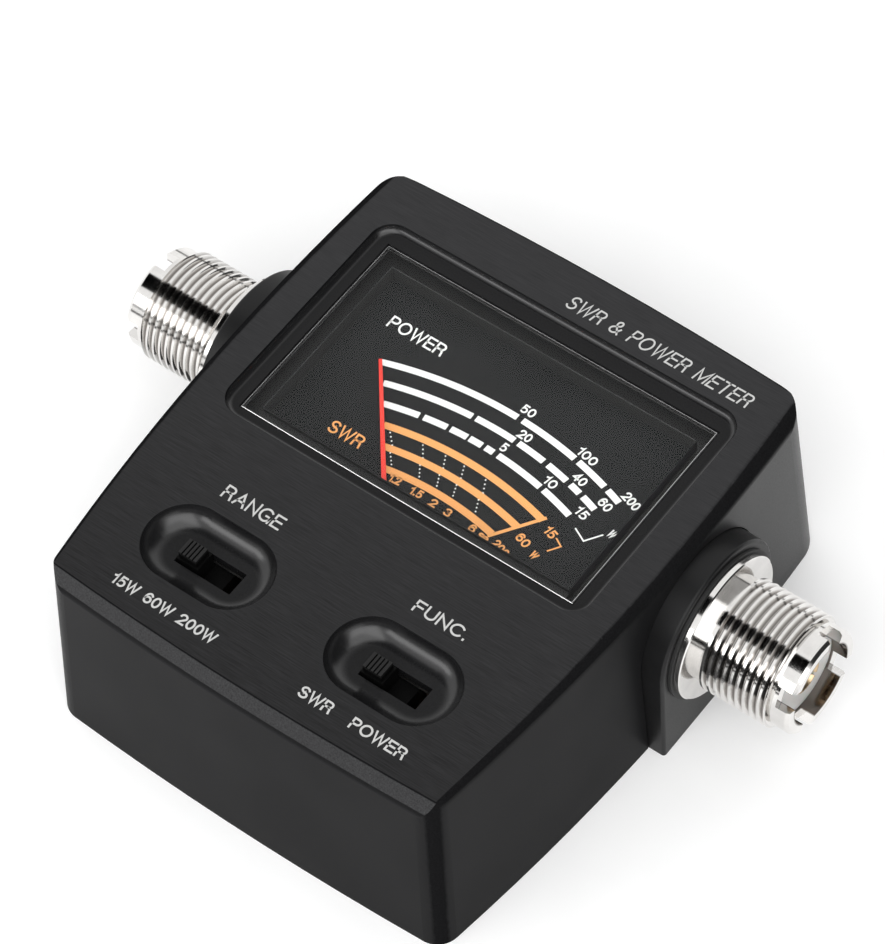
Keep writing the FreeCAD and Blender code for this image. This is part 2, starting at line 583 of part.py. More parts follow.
def switch_board():
    z0, z1 = SWITCH_BOARD_Z, SWITCH_BOARD_Z + BOARD_T
    board = fuse(slab(0, -26.5, 56.0, 13.2, 1.0, z0, z1), slab(-24.4, -20.0, 7.2, 9.0, 1.0, z0, z1),
                 slab(24.4, -20.0, 7.2, 9.0, 1.0, z0, z1))
    cuts = [rod(0.55, 0, 40, tx, ty) for x, ways in SWITCHES.values()
            for tx, ty in terminal_places(x, ways)]
    cuts += [rod(1.0, 0, 40, x, y) for x, y in BOARD_BOSSES]
    cuts += [rod(3.3, 0, 40, x, y) for x, y in SHELL_BOSSES]
    return board.cut(cuts)


def pan_screw(x, y, z_head, length, down=True):
    """M2 pan-head screw; its head sits under z_head and its shank goes up, or the other way."""
    s = 1 if down else -1
    shank_end = z_head + s * length
    low, high = sorted((z_head, shank_end))
    head_low, head_high = sorted((z_head - s * 1.1, z_head))
    head = rod(1.8, head_low, head_high, x, y)
    cross_z = sorted((z_head - s * 1.1, z_head - s * 0.6))
    drive = fuse(box(x - 1.1, x + 1.1, y - 0.2, y + 0.2, cross_z[0] - 0.01, cross_z[1]),
                 box(x - 0.2, x + 0.2, y - 1.1, y + 1.1, cross_z[0] - 0.01, cross_z[1]))
    return fuse(head, rod(0.8, low, high, x, y)).cut(drive)


def switch_board_screws():
    return group(*[pan_screw(x, y, SWITCH_BOARD_Z, 6.0) for x, y in BOARD_BOSSES])


def housing_screws():
    """Countersunk screws through the chassis floor into the shell's bosses."""
    screws = []
    for x, y in SHELL_BOSSES:
        head = Part.makeCone(2.55, 1.35, 1.15, V(x, y, FLOOR_Z + 0.05), Z)
        shank = rod(SHELL_PILOT_R - 0.02, FLOOR_Z + 1.0, 9.5, x, y)
        cross = fuse(box(x - 1.3, x + 1.3, y - 0.25, y + 0.25, 0, FLOOR_Z + 0.65),
                     box(x - 0.25, x + 0.25, y - 1.3, y + 1.3, 0, FLOOR_Z + 0.65))
        screws.append(fuse(head, shank).cut(cross))
    return group(*screws)


# ---------------------------------------------------------------- directional coupler
def line_board():
    board = slab(0, SOCKET_Y, 46.0, 25.0, 1.0, LINE_BOARD_Z, LINE_BOARD_Z + BOARD_T)
    holes = [rod(1.0, 0, 40, sx * BOARD_POST[0], SOCKET_Y + sy * BOARD_POST[1])
             for sx in (-1, 1) for sy in (-1, 1)]
    return board.cut(holes)


def line_board_screws():
    z = LINE_BOARD_Z + BOARD_T
    return group(*[pan_screw(sx * BOARD_POST[0], SOCKET_Y + sy * BOARD_POST[1], z, 5.0, down=False)
                   for sx in (-1, 1) for sy in (-1, 1)])


def line_conductor():
    """Centre conductor of the through line, soldered into both contact cups."""
    return rod_x(1.0, -27.4, 27.4)


def line_trough():
    """Tinned shield round the through line, open at the bottom over the board."""
    z0, z1 = LINE_BOARD_Z + BOARD_T, 19.9
    half_w = 5.6
    shell = box(-22, 22, SOCKET_Y - half_w, SOCKET_Y + half_w, z0, z1)
    hollow = box(-21.6, 21.6, SOCKET_Y - half_w + 0.4, SOCKET_Y + half_w - 0.4, z0 - 1, z1 - 0.4)
    return shell.cut([hollow, rod_x(2.6, -30, 30)])


def coupling_lines():
    """Two sampling wires beside the through line, each with its ends bent down to the board."""
    wires = []
    for s in (-1, 1):
        y = SOCKET_Y + s * 3.4
        wires.append(fuse(rod_x(0.4, -16.4, 16.4, y, SOCKET_Z),
                          rod(0.4, LINE_BOARD_Z + BOARD_T, SOCKET_Z, -16.0, y),
                          rod(0.4, LINE_BOARD_Z + BOARD_T, SOCKET_Z, 16.0, y)))
    return group(*wires)


def axial_part(x, y, body_r, body_len):
    z = LINE_BOARD_Z + BOARD_T + body_r
    return rod_x(body_r, x - body_len / 2, x + body_len / 2, y, z)


def detector_diodes():
    return group(*[axial_part(x, SOCKET_Y - 7.7, 1.0, 3.8) for x in (-12.0, 12.0)])


def load_resistors():
    return group(*[axial_part(x, SOCKET_Y - 7.7, 1.25, 6.0) for x in (-3.8, 3.8)])


def bypass_capacitors():
    z = LINE_BOARD_Z + BOARD_T
    return group(*[box(x - 1.6, x + 1.6, SOCKET_Y + 7.4, SOCKET_Y + 9.4, z, z + 3.0)
                   for x in (-5.0, 5.0)])


def trimmer_bodies():
    z = LINE_BOARD_Z + BOARD_T
    return group(*[box(x - 3.3, x + 3.3, y - 2.9, y + 2.9, z, z + 2.4).cut(
        rod(TRIMMER_R - 0.2, z + 0.8, z + 3, x, y)) for x, y in TRIMMERS])


def trimmer_rotor(x, y):
    z = LINE_BOARD_Z + BOARD_T
    disc = rod(TRIMMER_R - 0.25, z + 0.85, z + 2.9, x, y)
    return disc.cut(box(x - 1.7, x + 1.7, y - 0.25, y + 0.25, z + 2.3, z + 4))


def bent_wire(points, r, bend):
    """Round wire through points, with a tangent arc of radius bend at each inner corner."""
    pts = [V(*p) for p in points]
    edges, start = [], pts[0]
    for a, b, c in zip(pts, pts[1:], pts[2:]):
        u, w = (b - a).normalize(), (c - b).normalize()
        half = u.getAngle(w) / 2
        reach = bend * math.tan(half)
        p, q = b - u * reach, b + w * reach
        middle = b + (w - u).normalize() * (bend / math.cos(half) - bend)
        edges += [Part.LineSegment(start, p).toShape(), Part.Arc(p, middle, q).toShape()]
        start = q
    edges.append(Part.LineSegment(start, pts[-1]).toShape())
    path = Part.Wire(edges)
    ring = Part.Wire(Part.makeCircle(r, pts[0], (pts[1] - pts[0]).normalize()))
    return path.makePipeShell([ring], True, False)


def hookup_wires():
    """Insulated leads from the coupler board to the switch board and the meter studs."""
    z0 = LINE_BOARD_Z + BOARD_T
    leads = []
    for i, x in enumerate((-16.6, -14.4, 15.0)):
        leads.append(bent_wire([(x, SOCKET_Y - 11.4, z0), (x, SOCKET_Y - 11.4, z0 + 5.4),
                                (x + 2, -12.0 - i * 0.3, z0 + 6.0), (x + 2, -16.5, z0 + 4.2),
                                (x + 2, -16.5, SWITCH_BOARD_Z)], 0.55, 1.6))
    for x, _ in STUD_PLACES:
        leads.append(bent_wire([(x + 6, -20.5, SWITCH_BOARD_Z), (x + 6, -20.5, 5.0),
                                (x, -19.0, 4.0), (x, -16.0, 4.0), (x, -16.0, 6.2)], 0.55, 0.9))
    return group(*leads)


# ---------------------------------------------------------------- write every node
def export():
    os.makedirs("parts", exist_ok=True)
    nodes = {
        "housing": housing(), "chassis": chassis(), "meter_cover": meter_cover(),
        "meter_case": meter_case(), "dial_plate": dial_plate(), "dial_screws": dial_screws(),
        "meter_screws": meter_screws(),
        "core_magnet": magnet(), "yoke_ring": yoke(), "lower_bridge": core_support(),
        "upper_bridge": upper_bridge(), "jewel_screws": jewel_screws(),
        "coil_former": coil_former(), "coil_winding": coil_winding(), "pivot_staffs": pivot_staffs(),
        "hairsprings": hairsprings(), "pointer": pointer(), "pointer_counterweight": counterweight(),
        "pointer_stops": pointer_stops(), "meter_studs": meter_studs(),
        "switch_board": switch_board(), "switch_board_screws": switch_board_screws(),
        "housing_screws": housing_screws(), "line_board": line_board(),
        "line_board_screws": line_board_screws(), "line_conductor": line_conductor(),
        "line_trough": line_trough(), "coupling_lines": coupling_lines(),
        "detector_diodes": detector_diodes(), "load_resistors": load_resistors(),
        "bypass_capacitors": bypass_capacitors(), "trimmer_bodies": trimmer_bodies(),
        "hookup_wires": hookup_wires(),
    }
    for name, (x, ways) in SWITCHES.items():
        nodes[f"{name}_switch_frame"] = switch_frame(x)
        nodes[f"{name}_switch_base"] = switch_base(x, ways)
        nodes[f"{name}_switch_terminals"] = switch_terminals(x, ways)
        nodes[f"{name}_knob"] = switch_knob(x)
        nodes[f"{name}_contacts"] = switch_contacts(x)
    sided = {"socket_insulator": socket_insulator(), "socket_contact": socket_contact(),
             "socket_gasket": socket_gasket(),
             "socket_washer": socket_washer(), "socket_nut": socket_nut()}
    for name, shape in sided.items():
        nodes[f"{name}_right"] = shape
        nodes[f"{name}_left"] = mirrored(shape)
    nodes["socket_shell_right"] = socket_shell(NOTCH_TURN_RIGHT)
    nodes["socket_shell_left"] = mirrored(socket_shell(NOTCH_TURN_LEFT))
    for side, (x, y) in zip(("left", "right"), TRIMMERS):
        nodes[f"trimmer_rotor_{side}"] = trimmer_rotor(x, y)
    for name, shape in nodes.items():
        shape.exportStep(f"parts/{name}.step")
        b = shape.BoundBox
        print(f"{name:26s} solids {len(shape.Solids)} valid {shape.isValid()} "
              f"vol {shape.Volume:9.2f}  x {b.XMin:7.2f} {b.XMax:7.2f}  "
              f"y {b.YMin:7.2f} {b.YMax:7.2f}  z {b.ZMin:6.2f} {b.ZMax:6.2f}")


export()
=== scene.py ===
"""Looks for the SWR and power meter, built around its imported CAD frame.

Lengths are given in millimetres and turned into Blender's metres by MM. The CAD nodes keep their
shape and get procedural materials; this script adds the printed scales and lettering.
"""

import json
import math

import bmesh
import bpy
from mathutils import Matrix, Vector


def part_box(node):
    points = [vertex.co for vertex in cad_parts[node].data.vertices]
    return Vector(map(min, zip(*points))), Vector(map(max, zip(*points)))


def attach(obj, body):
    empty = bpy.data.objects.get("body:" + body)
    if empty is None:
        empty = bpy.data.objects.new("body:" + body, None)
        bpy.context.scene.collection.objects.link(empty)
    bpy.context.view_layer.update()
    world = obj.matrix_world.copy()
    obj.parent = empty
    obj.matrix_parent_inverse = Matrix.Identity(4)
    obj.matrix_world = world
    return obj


MM = 0.001
INK = 0.03 * MM                      # how far a printed line stands above its surface
INK_ROOT = INK / 3                   # how far it reaches into that surface
FINE, BOLD = 0.24 * MM, 0.27 * MM    # stroke widths of the lettering

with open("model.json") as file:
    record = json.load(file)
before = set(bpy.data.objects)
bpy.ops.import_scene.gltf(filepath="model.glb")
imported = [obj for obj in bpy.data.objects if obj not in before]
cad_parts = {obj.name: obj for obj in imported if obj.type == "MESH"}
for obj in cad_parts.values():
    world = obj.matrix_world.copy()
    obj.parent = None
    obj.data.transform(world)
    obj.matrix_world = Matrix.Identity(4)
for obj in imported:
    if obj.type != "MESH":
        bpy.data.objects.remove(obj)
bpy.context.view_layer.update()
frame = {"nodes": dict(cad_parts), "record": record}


# ---------------------------------------------------------------- places read from the frame
def middle(node):
    low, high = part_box(node)
    return (low + high) / 2


def mount(name):
    return next(m for m in frame["record"]["mounts"] if m["name"] == name)


WINDOW = middle("meter_cover")
DIAL_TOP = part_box("dial_plate")[1].z
PANEL_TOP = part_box("housing")[1].z
SOCKET_AXIS = Vector(mount("centre_contact_right")["pos_m"])


def below_panel(distance):
    """Height of a point that lies this many millimetres under the panel's face."""
    return PANEL_TOP - distance * MM


# ---------------------------------------------------------------- material building blocks
def add_node(tree, kind, **settings):
    node = tree.nodes.new(kind)
    for key, value in settings.items():
        setattr(node, key, value)
    return node


def new_material(name, colour, roughness, metallic=0.0, **sockets):
    """Material with one Principled shader; further sockets are set by their own names."""
    mat = bpy.data.materials.new(name)
    mat.use_nodes = True
    shader = mat.node_tree.nodes["Principled BSDF"]
    shader.inputs["Base Color"].default_value = (*colour, 1.0)
    shader.inputs["Roughness"].default_value = roughness
    shader.inputs["Metallic"].default_value = metallic
    for key, value in sockets.items():
        shader.inputs[key.replace("_", " ")].default_value = value
    return mat, mat.node_tree, shader


def stretched(tree, x, y, z):
    """Object coordinates scaled so that one unit is x, y, z millimetres long."""
    coords = add_node(tree, "ShaderNodeTexCoord")
    mapping = add_node(tree, "ShaderNodeMapping")
    mapping.inputs["Scale"].default_value = (1 / (x * MM), 1 / (y * MM), 1 / (z * MM))
    tree.links.new(coords.outputs["Object"], mapping.inputs["Vector"])
    return mapping.outputs["Vector"]


def noise(tree, x, y, z, detail=3.0, rough=0.55):
    """Noise whose grains are about x, y, z millimetres long."""
    texture = add_node(tree, "ShaderNodeTexNoise")
    texture.inputs["Scale"].default_value = 1.0
    texture.inputs["Detail"].default_value = detail
    texture.inputs["Roughness"].default_value = rough
    tree.links.new(stretched(tree, x, y, z), texture.inputs["Vector"])
    return texture.outputs["Fac"]


def remap(tree, source, low, high, from_low=0.3, from_high=0.7):
    """Number that goes from low to high while source goes from from_low to from_high."""
    node = add_node(tree, "ShaderNodeMapRange", clamp=True)
    node.inputs["From Min"].default_value = from_low
    node.inputs["From Max"].default_value = from_high
    node.inputs["To Min"].default_value = low
    node.inputs["To Max"].default_value = high
    tree.links.new(source, node.inputs["Value"])
    return node.outputs["Result"]


def mix_colour(tree, factor, first, second):
    """Colour that is first where factor is 0 and second where it is 1."""
    node = add_node(tree, "ShaderNodeMix", data_type="RGBA")
    tree.links.new(factor, node.inputs["Factor"])
    for socket, value in (("A", first), ("B", second)):
        target = next(s for s in node.inputs if s.name == socket and s.type == "RGBA")
        if isinstance(value, (tuple, list)):
            target.default_value = (*value, 1.0)
        else:
            tree.links.new(value, target)
    return next(s for s in node.outputs if s.type == "RGBA")


def connect(tree, value, socket):
    """Sets a socket to a plain number or links another node's output to it."""
    if isinstance(value, (int, float)):
        socket.default_value = value
    else:
        tree.links.new(value, socket)


def combine(tree, operation, *values):
    """Result of a Math node with these inputs."""
    node = add_node(tree, "ShaderNodeMath", operation=operation)
    for socket, value in zip(node.inputs, values):
        connect(tree, value, socket)
    return node.outputs["Value"]


def add_bump(tree, height, distance):
    """Bump whose full height is distance millimetres."""
    node = add_node(tree, "ShaderNodeBump")
    node.inputs["Distance"].default_value = distance * MM
    node.inputs["Strength"].default_value = 1.0
    tree.links.new(height, node.inputs["Height"])
    return node.outputs["Normal"]


def scaled(colour, factor):
    return tuple(min(1.0, c * factor) for c in colour)


def blend(tree, factor, first, second):
    """Number that is first where factor is 0 and second where it is 1."""
    node = add_node(tree, "ShaderNodeMix", data_type="FLOAT")
    tree.links.new(factor, node.inputs[0])
    connect(tree, first, node.inputs[2])
    connect(tree, second, node.inputs[3])
    return node.outputs[0]


def between(tree, source, low, high, soft):
    """1 where source lies from low to high, falling to 0 over soft outside."""
    rising = remap(tree, source, 0, 1, low - soft, low)
    falling = remap(tree, source, 1, 0, high, high + soft)
    return combine(tree, "MULTIPLY", rising, falling)


def all_of(tree, first, *others):
    """1 where every one of these masks is 1."""
    for other in others:
        first = combine(tree, "MULTIPLY", first, other)
    return first


def shape_axes(tree):
    """Normal x, y, z and position x, y, z of the shaded point."""
    shape = add_node(tree, "ShaderNodeNewGeometry")
    split = []
    for output in ("Normal", "Position"):
        node = add_node(tree, "ShaderNodeSeparateXYZ")
        tree.links.new(shape.outputs[output], node.inputs["Vector"])
        split += [node.outputs[axis] for axis in "XYZ"]
    return split


# ---------------------------------------------------------------- families of material
def moulded(name, colour, roughness, grain=0.25, depth=0.006, spread=0.2, **sockets):
    """Moulded or painted surface: fine grain, slow mottling and uneven gloss."""
    mat, tree, shader = new_material(name, colour, roughness, **sockets)
    fine = noise(tree, grain, grain, grain, detail=4.0)
    slow = noise(tree, 9, 9, 9, detail=2.0)
    tone = mix_colour(tree, remap(tree, slow, 0, 1), scaled(colour, 1 - spread),
                      scaled(colour, 1 + spread))
    gloss = combine(tree, "ADD", remap(tree, fine, roughness - 0.05, roughness + 0.05),
                    remap(tree, slow, -0.03, 0.03))
    tree.links.new(tone, shader.inputs["Base Color"])
    tree.links.new(gloss, shader.inputs["Roughness"])
    tree.links.new(add_bump(tree, fine, depth), shader.inputs["Normal"])
    return mat


def metal(name, colour, roughness, stretch=(0.15, 0.15, 4.0), depth=0.002):
    """Bare or plated metal with fine drawn marks along the longest of the stretch lengths."""
    mat, tree, shader = new_material(name, colour, roughness, metallic=1.0)
    marks = noise(tree, *stretch, detail=4.0)
    cloud = noise(tree, 3, 3, 3, detail=2.0)
    tone = mix_colour(tree, remap(tree, cloud, 0, 1), scaled(colour, 0.88), colour)
    gloss = remap(tree, marks, roughness * 0.75, roughness * 1.35)
    tree.links.new(tone, shader.inputs["Base Color"])
    tree.links.new(gloss, shader.inputs["Roughness"])
    tree.links.new(add_bump(tree, marks, depth), shader.inputs["Normal"])
    return mat


RECESSES_X = (-30 * MM, 30 * MM)     # part of the panel that holds the window and the dishes
RECESSES_Y = (-32 * MM, 31 * MM)
BEVEL_Y = (-41 * MM, -35 * MM)       # reach of the bevel at the panel's front edge


def case_black(name, colour):
    """Black case moulding: hairlines on the flat panel, lightened towards the back by painted sheen,
    a grainy front bevel lightened by painted highlight and framed by dark lines at the plain tone,
    a lower lip lightened by painted sheen, glossy dishes and pocket, and satin walls that get
    glossier towards the back."""
    mat, tree, shader = new_material(name, colour, 0.4)
    nx, ny, nz, px, py, pz = shape_axes(tree)
    front = combine(tree, "MULTIPLY", ny, -1.0)

    # where each zone lies, as masks from 0 to 1
    panel = all_of(tree, remap(tree, nz, 0, 1, 0.97, 0.995),
                   remap(tree, pz, 0, 1, below_panel(0.3), below_panel(0.1)))
    facet = all_of(tree, between(tree, front, 0.35, 0.95, 0.02), between(tree, nz, 0.3, 0.95, 0.02),
                   between(tree, py, *BEVEL_Y, 0.2 * MM))
    bevel = all_of(tree, facet, between(tree, pz, below_panel(2.4), below_panel(0.3), 0.08 * MM))
    lip_sheen = all_of(tree, facet, remap(tree, pz, 1, 0, below_panel(3.3), below_panel(2.8)))
    recess = all_of(tree, between(tree, px, *RECESSES_X, 0.1 * MM),
                    between(tree, py, *RECESSES_Y, 0.1 * MM),
                    remap(tree, pz, 1, 0, below_panel(0.15), below_panel(0.05)))
    upright = remap(tree, nz, 1, 0, 0.15, 0.4)
    corner = all_of(tree, upright, remap(tree, combine(tree, "MULTIPLY", nx, front), 0, 1, 0.36, 0.44))
    sheen = all_of(tree, upright, remap(tree, py, 0, 1, 2 * MM, 34 * MM))
    shoulder = remap(tree, pz, 0, 1, below_panel(2.0), below_panel(0.9))

    # colour
    hairlines = noise(tree, 5.0, 0.15, 5.0, detail=5.0, rough=0.7)
    grain = noise(tree, 0.2, 0.2, 0.2, detail=3.0)
    slow = noise(tree, 14, 14, 14, detail=1.0)
    # painted sheen: depth makes the panel's hairlines lighter towards the back of the panel
    depth = remap(tree, py, 0, 1, -36 * MM, 20 * MM)
    dark_line = mix_colour(tree, depth, scaled(colour, 0.3), scaled(colour, 1.7))
    light_line = mix_colour(tree, depth, scaled(colour, 2.3), scaled(colour, 3.6))
    brushed = mix_colour(tree, remap(tree, hairlines, 0, 1), dark_line, light_line)
    plain = mix_colour(tree, remap(tree, grain, 0, 1), scaled(colour, 0.7), scaled(colour, 1.2))
    # painted highlight: the grainy bevel is drawn up to four times lighter than the case; the thin bands
    # either side keep the plain tone and read as dark lines
    sandy_highlight = mix_colour(tree, remap(tree, grain, 0, 1), scaled(colour, 0.8), scaled(colour, 4.2))
    tone = mix_colour(tree, bevel, mix_colour(tree, panel, plain, brushed), sandy_highlight)
    # painted sheen: the lower lip of the front facet is drawn lighter to match the walls
    tone = mix_colour(tree, lip_sheen, tone, scaled(colour, 2.6))
    tree.links.new(tone, shader.inputs["Base Color"])

    # strength of the reflection, then its sharpness
    recess_level = blend(tree, remap(tree, nz, 0, 1, 0.9, 0.99), 0.6, 0.15)
    level = blend(tree, sheen, 0.045, 0.5)
    for zone, zone_level in ((corner, 0.0), (shoulder, 0.0), (panel, 0.18), (bevel, 0.2),
                             (recess, recess_level)):
        level = blend(tree, zone, level, zone_level)
    tree.links.new(level, shader.inputs["Specular IOR Level"])
    side_gloss = combine(tree, "ADD", remap(tree, grain, 0.36, 0.46), remap(tree, slow, -0.03, 0.03))
    gloss = blend(tree, panel, side_gloss, remap(tree, hairlines, 0.38, 0.52))
    gloss = blend(tree, recess, gloss, remap(tree, slow, 0.2, 0.28))
    tree.links.new(gloss, shader.inputs["Roughness"])

    # relief
    outside = combine(tree, "SUBTRACT", 1.0, combine(tree, "MAXIMUM", panel, recess))
    height = combine(tree, "ADD", combine(tree, "MULTIPLY", hairlines, panel),
                     combine(tree, "MULTIPLY", grain, outside))
    tree.links.new(add_bump(tree, height, 0.01), shader.inputs["Normal"])
    return mat


def clear_plastic(name):
    """Polished acrylic that lets lamps through; a bright metallic layer on its rounded rim paints a
    glint, and its skirt is painted near black as shade, with a thin lighter line of painted highlight."""
    mat, tree, shader = new_material(name, (0.97, 0.98, 0.98), 0.01, IOR=1.22, Transmission_Weight=1.0)
    smear = noise(tree, 6, 6, 6, detail=2.0)
    tree.links.new(remap(tree, smear, 0.0, 0.012), shader.inputs["Roughness"])
    axes = shape_axes(tree)
    facing, height = axes[2], axes[5]
    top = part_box("meter_cover")[1].z

    # painted shade: below the top plate the skirt is drawn near black, with a thin lighter line of
    # painted highlight
    skirt = add_node(tree, "ShaderNodeBsdfPrincipled")
    edge_line_glint = between(tree, height, top - 1.55 * MM, top - 1.42 * MM, 0.04 * MM)
    tree.links.new(mix_colour(tree, edge_line_glint, (0.006, 0.006, 0.006), (0.16, 0.16, 0.16)),
                   skirt.inputs["Base Color"])
    skirt.inputs["Roughness"].default_value = 0.5
    shaded_skirt = remap(tree, height, 1, 0, top - 1.6 * MM, top - 1.4 * MM)

    # painted glint: a bright metallic layer on the cover's rounded top edge
    rim = add_node(tree, "ShaderNodeBsdfPrincipled")
    rim.inputs["Base Color"].default_value = (0.85, 0.85, 0.85, 1.0)
    rim.inputs["Metallic"].default_value = 1.0
    tree.links.new(remap(tree, smear, 0.16, 0.22), rim.inputs["Roughness"])
    rounded = all_of(tree, between(tree, facing, 0.08, 0.96, 0.02),
                     remap(tree, height, 0, 1, top - 0.34 * MM, top - 0.3 * MM))

    lamps = add_node(tree, "ShaderNodeLightPath").outputs["Is Shadow Ray"]
    through = add_node(tree, "ShaderNodeBsdfTransparent")
    surface = shader.outputs["BSDF"]
    for factor, layer in ((shaded_skirt, skirt), (rounded, rim), (lamps, through)):
        mix = add_node(tree, "ShaderNodeMixShader")
        tree.links.new(factor, mix.inputs["Fac"])
        tree.links.new(surface, mix.inputs[1])
        tree.links.new(layer.outputs["BSDF"], mix.inputs[2])
        surface = mix.outputs["Shader"]
    tree.links.new(surface, tree.nodes["Material Output"].inputs["Surface"])
    return mat


def ink(name, colour, roughness=0.55):
    """Screen-printed ink: slightly uneven in tone, with a faint woven bump."""
    mat, tree, shader = new_material(name, colour, roughness)
    weave = noise(tree, 0.12, 0.12, 0.12, detail=2.0)
    tone = mix_colour(tree, remap(tree, weave, 0, 1), scaled(colour, 0.88), colour)
    tree.links.new(tone, shader.inputs["Base Color"])
    tree.links.new(remap(tree, weave, roughness - 0.1, roughness + 0.1), shader.inputs["Roughness"])
    tree.links.new(add_bump(tree, weave, 0.004), shader.inputs["Normal"])
    return mat


THREAD_REACH = (39.9 * MM, 49.5 * MM)    # ends of the threads, from the middle of the case
THREAD_RADII = (7.55 * MM, 7.85 * MM)    # painted shade below the first, plain plating above the second
MOUTH_RADII = (5.75 * MM, 5.95 * MM)     # the same for the wall inside a socket's mouth
MOUTH_REACH = (46.0 * MM, 46.3 * MM)     # where painted shade on the wall of the mouth begins


def nickel(name):
    """Bright nickel over turned brass: ring marks round the socket's X axis, darkened by painted shade
    in the thread's grooves and inside the mouth."""
    colour = (0.80, 0.785, 0.765)
    mat, tree, shader = new_material(name, colour, 0.14, metallic=1.0)
    rings = noise(tree, 0.05, 40, 40, detail=2.0)
    cloud = noise(tree, 2.5, 2.5, 2.5, detail=3.0)
    px, py, pz = shape_axes(tree)[3:]
    side = combine(tree, "SUBTRACT", py, SOCKET_AXIS.y)
    rise = combine(tree, "SUBTRACT", pz, SOCKET_AXIS.z)
    radius = combine(tree, "SQRT", combine(tree, "ADD", combine(tree, "MULTIPLY", side, side),
                                           combine(tree, "MULTIPLY", rise, rise)))
    reach = combine(tree, "ABSOLUTE", px)
    groove_shade = all_of(tree, between(tree, reach, *THREAD_REACH, 0.05 * MM),
                    remap(tree, radius, 1, 0, *THREAD_RADII))
    mouth = all_of(tree, remap(tree, radius, 1, 0, *MOUTH_RADII), remap(tree, reach, 0, 1, *MOUTH_REACH))
    # painted shade: the plating is drawn dark in the thread's grooves and inside the mouth
    painted_shade = combine(tree, "MAXIMUM", combine(tree, "MULTIPLY", groove_shade, 0.6), mouth)
    tone = mix_colour(tree, remap(tree, cloud, 0, 1), scaled(colour, 0.9), colour)
    tree.links.new(mix_colour(tree, painted_shade, tone, (0.20, 0.18, 0.165)), shader.inputs["Base Color"])
    gloss = combine(tree, "ADD", remap(tree, rings, 0.05, 0.11), remap(tree, cloud, 0.0, 0.04))
    tree.links.new(gloss, shader.inputs["Roughness"])
    tree.links.new(add_bump(tree, rings, 0.003), shader.inputs["Normal"])
    return mat


def slider_black(name):
    """Moulded slider: matt grained ribs on top; below them painted shade makes it near black."""
    mat, tree, shader = new_material(name, (0.02, 0.02, 0.02), 0.45)
    grain = noise(tree, 0.15, 0.15, 0.15, detail=4.0)
    ribs = remap(tree, shape_axes(tree)[5], 0, 1, below_panel(1.3), below_panel(1.1))
    rib_tone = mix_colour(tree, remap(tree, grain, 0, 1), (0.006, 0.006, 0.006), (0.012, 0.012, 0.012))
    # painted shade: below the ribs the slider is drawn near black
    tree.links.new(mix_colour(tree, ribs, (0.003, 0.003, 0.003), rib_tone), shader.inputs["Base Color"])
    tree.links.new(blend(tree, ribs, 0.05, 0.25), shader.inputs["Specular IOR Level"])
    tree.links.new(remap(tree, grain, 0.4, 0.5), shader.inputs["Roughness"])
    tree.links.new(add_bump(tree, grain, 0.005), shader.inputs["Normal"])
    return mat


# ---------------------------------------------------------------- the record's material slots
BLACK = (0.009, 0.009, 0.0095)

MATERIALS = {
    "case_black": case_black("case_black", BLACK),
    "chassis_black": moulded("chassis_black", scaled(BLACK, 0.7), 0.4, grain=0.18, depth=0.004,
                             Specular_IOR_Level=0.25),
    "clear_acrylic": clear_plastic("clear_acrylic"),
    "inner_black": moulded("inner_black", (0.004, 0.004, 0.004), 0.5, Specular_IOR_Level=0.2),
    "dial_black": moulded("dial_black", (0.007, 0.0072, 0.0075), 0.6, grain=0.4, depth=0.0005,
                          Specular_IOR_Level=0.12),
    "screw_black": metal("screw_black", (0.03, 0.03, 0.032), 0.35),
    "screw_steel": metal("screw_steel", (0.62, 0.61, 0.58), 0.28),
    "magnet_grey": metal("magnet_grey", (0.25, 0.25, 0.27), 0.45, stretch=(0.1, 3.0, 0.1)),
    "soft_iron": metal("soft_iron", (0.42, 0.42, 0.43), 0.4),
    "brass": metal("brass", (0.78, 0.57, 0.27), 0.25, stretch=(0.12, 2.0, 0.12)),
    "aluminium": metal("aluminium", (0.82, 0.82, 0.84), 0.35, stretch=(0.1, 0.1, 3.0)),
    "copper_enamel": metal("copper_enamel", (0.55, 0.2, 0.08), 0.3, stretch=(0.05, 6.0, 0.05),
                           depth=0.02),
    "spring_bronze": metal("spring_bronze", (0.72, 0.48, 0.26), 0.3),
    "pointer_red": ink("pointer_red", (0.85, 0.035, 0.02), 0.4),
    "board_laminate": moulded("board_laminate", (0.06, 0.14, 0.05), 0.45, grain=0.5, depth=0.01),
    "copper_bare": metal("copper_bare", (0.8, 0.4, 0.24), 0.3),
    "tinned_steel": metal("tinned_steel", (0.7, 0.7, 0.68), 0.3, stretch=(3.0, 0.2, 3.0)),
    "diode_glass": moulded("diode_glass", (0.55, 0.16, 0.06), 0.12, grain=0.4, Coat_Weight=0.6),
    "resistor_body": moulded("resistor_body", (0.3, 0.4, 0.55), 0.4, grain=0.3),
    "capacitor_body": moulded("capacitor_body", (0.75, 0.38, 0.08), 0.3, grain=0.3),
    "trimmer_blue": moulded("trimmer_blue", (0.02, 0.1, 0.45), 0.35, grain=0.3),
    "rotor_white": moulded("rotor_white", (0.8, 0.8, 0.76), 0.4, grain=0.3),
    "wire_insulation": moulded("wire_insulation", (0.4, 0.03, 0.02), 0.35, grain=0.3),
    "phenolic": moulded("phenolic", (0.3, 0.15, 0.06), 0.5, grain=0.4, depth=0.01),
    "knob_black": slider_black("knob_black"),
    "nickel_plate": nickel("nickel_plate"),
    "insulator_white": moulded("insulator_white", (0.60, 0.59, 0.57), 0.4, grain=0.3, spread=0.08,
                               Subsurface_Weight=0.15, Subsurface_Scale=1.0 * MM),
    "contact_gold": metal("contact_gold", (0.62, 0.47, 0.30), 0.3),
    "gasket_rubber": moulded("gasket_rubber", (0.012, 0.012, 0.012), 0.65, grain=0.2, depth=0.01),
}
